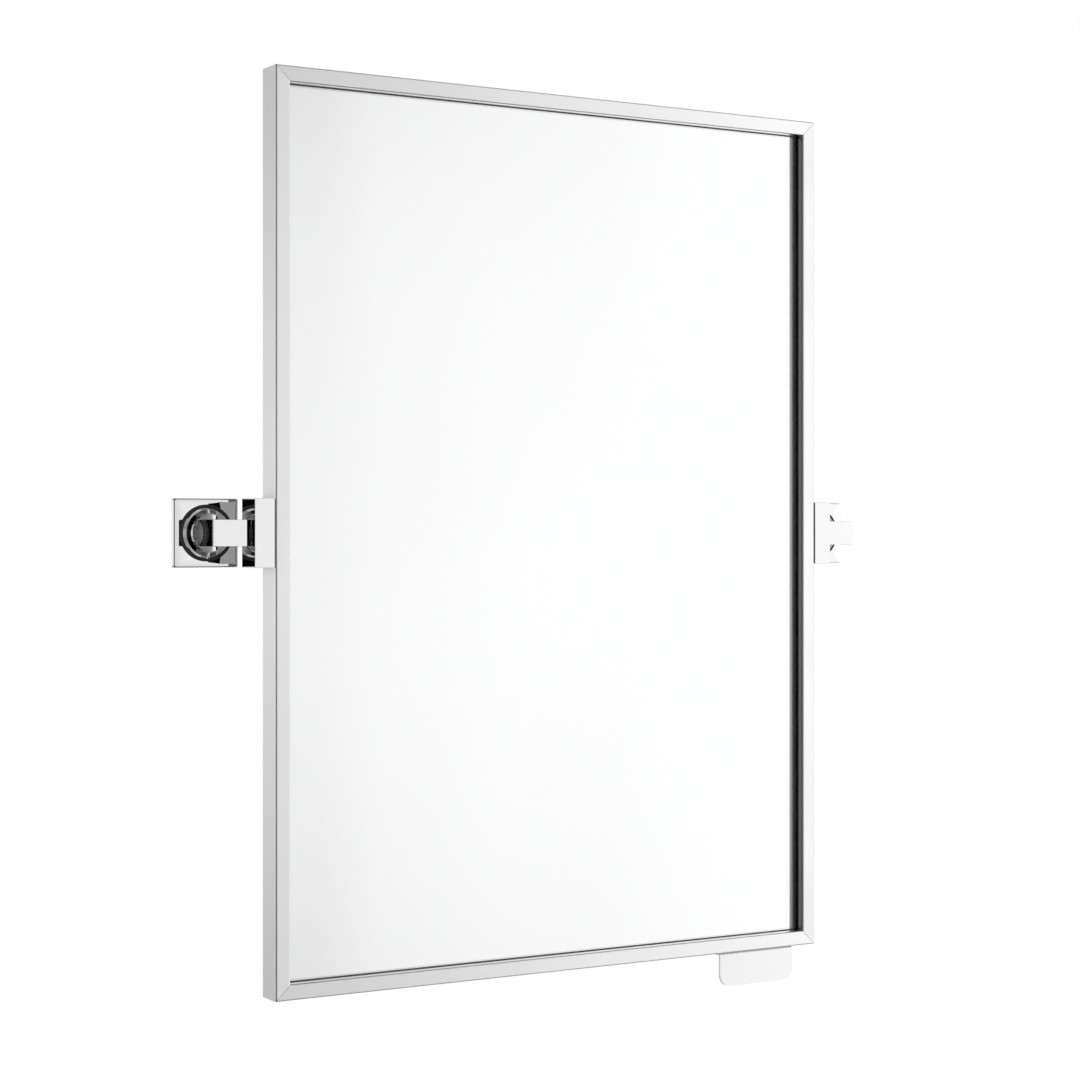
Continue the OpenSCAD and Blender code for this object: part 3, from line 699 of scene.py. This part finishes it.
def make_tab():
    """Folded tab: a flange under the rail, a bend at its front, and the plate with round corners."""
    lo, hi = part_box("handle_tab")
    mid = (lo.x + hi.x) / 2
    half_w = (hi.x - lo.x) / 2
    outer_r = TAB_BEND_R + TAB_T
    bend = Vector((0, lo.y + outer_r, hi.z - outer_r))
    corner_z = lo.z + TAB_CORNER_R
    # Each station is a place on the outer face, the way into the sheet from it, and half its width
    stations = [(Vector((0, hi.y, hi.z)), Vector((0, 0, -1)), half_w)]
    for y, z in arc((0, 0), 1, 90, 180, ARC_STEPS):
        out = Vector((0, y, z))
        stations.append((bend + out * outer_r, -out, half_w))
    for x, z in arc((0, 0), TAB_CORNER_R, 0, -TAB_CORNER_SWEEP, ARC_STEPS * 2):
        stations.append((Vector((0, lo.y, corner_z + z)), Vector((0, 1, 0)), half_w - TAB_CORNER_R + x))
    rings = []
    for outer, inward, width in stations:
        rings.append([Vector((mid + side * width, 0, 0)) + outer + inward * depth
                      for side, depth in ((-1, 0), (1, 0), (1, TAB_T), (-1, TAB_T))])
    bm = bmesh.new()
    loft(bm, rings)
    tab = piece("tilt_tab", bm, MIRROR_BODY, "frame_steel", ["handle_tab"], STEEL_ACROSS)
    fine_edges(tab, DRESSED_EDGE, steps=3)


# ---------------------------------------------------------------- bracket pieces

def make_block(side):
    """Flat pivot block on the side of the frame."""
    node = f"{side}_pivot_block"
    bm = bmesh.new()
    box_mesh(bm, *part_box(node))
    bevel_all(bm, DRESSED_EDGE)
    even_normals(piece(f"{side}_frame_block", bm, MIRROR_BODY, "bright_chrome", [node], CHROME))


def make_arm(side):
    """Square post and flat bar in one, seen from above as an L, and the spigot behind."""
    node = f"{side}_arm"
    lo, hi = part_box(node)
    seat_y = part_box(f"{side}_rosette")[1].y - rosette_section()[1]
    axis_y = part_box(f"{side}_pivot_block")[0].y + PIVOT_DEPTH
    bar_back = 2 * axis_y - lo.y
    size = hi.z - lo.z
    out = SIDES[side]
    outer = lo.x if out < 0 else hi.x
    inner = hi.x if out < 0 else lo.x
    post_in = outer - out * size
    outline = [(outer, lo.y), (inner, lo.y), (inner, bar_back), (post_in, bar_back),
               (post_in, seat_y), (outer, seat_y)]
    bm = bmesh.new()
    loft(bm, [[Vector((x, y, z)) for x, y in outline] for z in (lo.z, hi.z)])
    bmesh.ops.recalc_face_normals(bm, faces=bm.faces)
    bevel_all(bm, DRESSED_EDGE)
    centre = Vector((outer - out * size / 2, 0, 0))
    spigot_front = seat_y - DRESSED_EDGE
    spigot = [(AXIS_R, spigot_front), (SPIGOT_R, spigot_front), (SPIGOT_R, hi.y), (AXIS_R, hi.y)]
    lathe(bm, spigot, centre, SPIGOT_SIDES)
    even_normals(piece(f"{side}_bracket_arm", bm, BRACKET_BODY, "bright_chrome", [node], CHROME))


def rosette_section():
    """Section of the rosette as (radius, height) points, and the height of the post's seat."""
    lo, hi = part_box("left_rosette")
    foot_r = (hi.x - lo.x) / 2
    crown_h = hi.y - lo.y
    post = (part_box("left_arm")[1].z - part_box("left_arm")[0].z) / 2
    step_h = SHOULDER_H + (SHOULDER_R - STEP_R) * tan(CONE_SLOPE)
    seat_h = step_h + SEAT_RISE
    hollow_h = seat_h - SEAT_WALL
    bore_r = SPIGOT_R + FIT
    outside = [(foot_r, 0, FOOT_EDGE_R), (SHOULDER_R, SHOULDER_H, SHOULDER_EDGE_R),
               (STEP_R, step_h, STEP_EDGE_R), (STEP_TOP_R, step_h + STEP_RISE, STEP_EDGE_R),
               (post, crown_h, 0), (bore_r, crown_h, 0)]
    inside = [(bore_r, hollow_h, 0), (HOLLOW_R, hollow_h, 0), (HOLLOW_R, 0, 0)]
    return rounded_outline(outside + inside, steps=5), seat_h


def make_rosette(side):
    """Turned stepped cone with a square seat for the post and a hole for the grub screw."""
    node = f"{side}_rosette"
    lo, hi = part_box(node)
    mid_x = box_mid(node).x
    section, seat_h = rosette_section()
    bm = bmesh.new()
    lathe(bm, [(radius, -height) for radius, height in section], Vector((mid_x, hi.y, 0)), COLLAR_SIDES)
    made = piece(f"{side}_rosette_collar", bm, BRACKET_BODY, "bright_chrome", [node], CHROME)

    seat = (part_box(f"{side}_arm")[1].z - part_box(f"{side}_arm")[0].z) / 2 + FIT
    seat_cutter = block_cutter(Vector((mid_x - seat, lo.y - OVERSHOOT, -seat)),
                               Vector((mid_x + seat, hi.y - seat_h, seat)))
    hole_foot = Vector((mid_x, box_mid(f"{side}_arm_grub").y, lo.z - OVERSHOOT))
    cut_out(made, seat_cutter, rod_cutter(hole_foot, hi.z - HOLLOW_R + 2 * OVERSHOOT, GRUB_R + FIT))
    fine_edges(made)


def make_seal(side):
    """Black ring between the rosette and the cover."""
    node = f"{side}_rosette_seal"
    lo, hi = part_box(node)
    seal_r = (hi.x - lo.x) / 2
    section = [(seal_r, hi.y, SEAL_EDGE_R), (HOLLOW_R, hi.y, 0),
               (HOLLOW_R, lo.y, 0), (seal_r, lo.y, SEAL_EDGE_R)]
    bm = bmesh.new()
    lathe(bm, rounded_outline(section), Vector((box_mid(f"{side}_rosette").x, 0, 0)), COLLAR_SIDES)
    even_normals(piece(f"{side}_seal_ring", bm, BRACKET_BODY, "black_rubber", [node], RUBBER))


def cover_ring(half, corner_r, centre, y):
    """Points round a square with rounded corners, or round a circle where half equals corner_r."""
    ring = []
    for i in range(COVER_SIDES):
        a = 2 * pi * (i + 0.5) / COVER_SIDES
        direction = Vector((cos(a), 0, sin(a)))
        point = direction * (half / max(abs(direction.x), abs(direction.z)))
        inner = half - corner_r
        if abs(point.x) > inner and abs(point.z) > inner:
            # On the corner's arc, the point is corner_r from the arc's centre
            cx = inner if direction.x > 0 else -inner
            cz = inner if direction.z > 0 else -inner
            b = direction.x * cx + direction.z * cz
            c = cx * cx + cz * cz - corner_r * corner_r
            point = direction * (b + sqrt(max(b * b - c, 0.0)))
        ring.append(centre + point + Vector((0, y, 0)))
    return ring


def make_cover(side):
    """Shallow square cover with a rounded and bevelled front and a round hole for the socket."""
    node = f"{side}_wall_cover"
    lo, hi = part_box(node)
    centre = Vector(((lo.x + hi.x) / 2, 0, 0))
    half = (hi.x - lo.x) / 2
    front, back = lo.y, hi.y
    inner = half - COVER_WALL
    inner_front = front + COVER_WALL
    edge = arc((half - COVER_EDGE_R, 0), COVER_EDGE_R, 0, 90, COVER_EDGE_STEPS)
    edge_y = front + COVER_BEVEL_D + COVER_EDGE_R
    levels = [(inner, INNER_CORNER_R, back), (half, COVER_CORNER_R, back)]
    levels += [(size, COVER_CORNER_R, edge_y - rise) for size, rise in edge]
    levels += [(half - COVER_BEVEL_W, BEVEL_CORNER_R, front), (SOCKET_HOLE_R, SOCKET_HOLE_R, front),
               (SOCKET_HOLE_R, SOCKET_HOLE_R, inner_front), (inner, INNER_CORNER_R, inner_front)]
    bm = bmesh.new()
    hoop(bm, [cover_ring(size, corner_r, centre, y) for size, corner_r, y in levels])
    even_normals(piece(f"{side}_cover_plate", bm, BRACKET_BODY, "bright_chrome", [node], CHROME))


def make_brackets():
    """The chromed pieces and the seal, once on each side."""
    for side in SIDES:
        make_block(side)
        make_arm(side)
        make_rosette(side)
        make_seal(side)
        make_cover(side)


# ---------------------------------------------------------------- carried-over pieces

def dress_small_pieces():
    """Finishes of the pieces whose CAD shape is right."""
    finishes = {
        "corner_keys": INNER_STEEL, "key_set_screws": SCREW_STEEL, "glazing_tape": GREY_RUBBER,
        "spring_clips": SPRING_STEEL, "tab_screws": SCREW_STEEL, "tab_nut_strip": INNER_STEEL}
    on_each_side = {
        "stiffener": INNER_STEEL, "block_screws": SCREW_STEEL, "gasket": GREY_RUBBER,
        "bush": WHITE_NYLON, "friction_washer": BLACK_NYLON, "pivot_pin": SCREW_STEEL,
        "disc_spring": SPRING_STEEL, "washer": SCREW_STEEL, "lock_nut": SCREW_STEEL,
        "arm_grub": SCREW_STEEL, "wall_base": INNER_STEEL}
    for side in SIDES:
        finishes.update({f"{side}_{name}": finish for name, finish in on_each_side.items()})
    for node, finish in finishes.items():
        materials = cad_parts[node].data.materials
        materials.clear()
        materials.append(finish)


# ---------------------------------------------------------------- studio and camera

# Floor, in metres
FLOOR_R = 2.6
FLOOR_Z = -1.2


def make_floor():
    """Plain pale floor below the mirror; metal and glass show the room in its place."""
    bm = bmesh.new()
    bmesh.ops.create_circle(bm, cap_ends=True, segments=96, radius=FLOOR_R)
    mesh = bpy.data.meshes.new("studio_floor")
    bm.to_mesh(mesh)
    bm.free()
    floor = bpy.data.objects.new("studio_floor", mesh)
    floor.location.z = FLOOR_Z
    bpy.context.scene.collection.objects.link(floor)
    made, tree, shader, place = surface("floor_white", Roughness=1.0, Specular_IOR_Level=0.0)
    haze = use(tree, CLOUDING, place, Patches=1.5)
    tree.links.new(tone(tree, haze["Cloud"], grey(0.99), grey(1.0)), shader.inputs["Base Color"])
    mesh.materials.append(made)
    floor.visible_glossy = False
    floor.visible_transmission = False


# What metal and glass see round the room: (azimuth from the front in degrees, right is positive; value)
ROOM_LEVEL = [
    (-180, 0.94), (-156, 0.94), (-115, 0.78), (-102, 0.6), (-84, 0.03), (-62, 0.16), (-48, 0.14),
    (-36, 0.0), (-20, 0.0), (-10, 0.5), (0, 0.74), (12, 0.75), (18, 0.82), (24.8, 0.955), (27.2, 1.01),
    (30.8, 1.045), (38, 1.07), (43, 1.9), (54, 1.9), (66, 0.62), (120, 0.55), (157, 0.36), (180, 0.94)]
# How high and how low the light reaches, as the sine of the elevation
ROOM_REACH = [
    (-180, 0.245), (-130, 0.245), (-100, 0.40), (-60, 0.40), (-10, 0.24), (18, 0.26),
    (24.8, 0.378), (27.2, 0.50), (30.8, 0.56), (32.5, 0.60), (34.5, 1.0), (40, 1.0),
    (50, 0.60), (120, 0.60), (180, 0.245)]
# How sharply the light falls off at its reach, and the least that is left of it in front, behind and
# straight above and below
FADE_POWER = 2.5
FRONT_LEAST, REAR_LEAST, ZENITH_LEAST = 0.30, 0.58, 0.03
# Where the rear takes over from the front, as azimuths, and the zenith from both, as sines
REAR_FROM, REAR_FULL = radians(70), radians(100)
ZENITH_FROM, ZENITH_FULL = 0.70, 0.86


def round_the_room(tree, azimuth, stops):
    """Value that changes with the azimuth, smoothly between its stops."""
    ramp = add(tree, "ShaderNodeValToRGB", Fac=span(tree, azimuth, -pi, pi, 0.0, 1.0))
    ramp.color_ramp.interpolation = "EASE"
    marks = ramp.color_ramp.elements
    top = max(value for degrees, value in stops)
    for i, (degrees, value) in enumerate(stops):
        at = (degrees + 180) / 360
        # A new ramp already has its first two marks
        mark = marks[i] if i < 2 else marks.new(at)
        mark.position = at
        mark.color = (*grey(value / top), 1)
    return maths(tree, "MULTIPLY", ramp.outputs[0], top)


def make_world():
    """White to the eye and for matt pieces; for metal and glass, a room that is dark at the left."""
    world = bpy.data.worlds.new("white_studio")
    bpy.context.scene.world = world
    world.use_nodes = True
    tree = world.node_tree
    tree.nodes.clear()
    look = tree.nodes.new("ShaderNodeTexCoord").outputs["Generated"]
    axes = add(tree, "ShaderNodeSeparateXYZ", Vector=look).outputs
    azimuth = maths(tree, "ARCTAN2", axes["X"], maths(tree, "MULTIPLY", axes["Y"], -1.0))
    height = maths(tree, "ABSOLUTE", axes["Z"])
    level = round_the_room(tree, azimuth, ROOM_LEVEL)
    reach = round_the_room(tree, azimuth, ROOM_REACH)
    past_reach = maths(tree, "POWER", maths(tree, "DIVIDE", height, reach), FADE_POWER)
    fade = maths(tree, "SUBTRACT", 1.0, past_reach)
    aside = maths(tree, "ABSOLUTE", azimuth)
    behind = span(tree, aside, REAR_FROM, REAR_FULL, 0.0, REAR_LEAST, smooth=True)
    in_front = span(tree, height, ZENITH_FROM, ZENITH_FULL, FRONT_LEAST, ZENITH_LEAST)
    least = maths(tree, "MAXIMUM", behind, in_front)
    seen = maths(tree, "MULTIPLY", level, maths(tree, "MAXIMUM", fade, least))
    path = tree.nodes.new("ShaderNodeLightPath").outputs
    shiny = maths(tree, "MAXIMUM", path["Is Glossy Ray"], path["Is Transmission Ray"])
    plain = maths(tree, "SUBTRACT", 1.0, shiny)
    strength = maths(tree, "ADD", plain, maths(tree, "MULTIPLY", shiny, seen))
    background = add(tree, "ShaderNodeBackground", Color=(1, 1, 1, 1), Strength=strength)
    out = tree.nodes.new("ShaderNodeOutputWorld")
    tree.links.new(background.outputs[0], out.inputs["Surface"])


# Place of the camera in metres, and its turn away from straight ahead
CAMERA_AT = Vector((-0.9832, -1.6796, 0.0))
CAMERA_TURN = radians(-30.55)
# Width of the picture, focal length, and height of the horizon above the picture's middle, in pixels
PICTURE = 1080
FOCAL_PIXELS = 2381.6
HORIZON_RISE = 7


def make_camera():
    """Two-point perspective from the left, at the height of the pivots."""
    data = bpy.data.cameras.new("photo_camera")
    data.sensor_width = 36
    data.sensor_fit = "HORIZONTAL"
    data.lens = FOCAL_PIXELS * data.sensor_width / PICTURE
    data.shift_y = -HORIZON_RISE / PICTURE
    camera = bpy.data.objects.new("photo_camera", data)
    camera.location = CAMERA_AT
    camera.rotation_euler = (pi / 2, 0, CAMERA_TURN)
    bpy.context.scene.collection.objects.link(camera)
    bpy.context.scene.camera = camera


make_frame()
make_pane()
make_silver()
make_backing()
make_tab()
make_brackets()
dress_small_pieces()
make_floor()
make_world()
make_camera()
bpy.context.scene.view_settings.view_transform = "Standard"

bpy.context.view_layer.update()
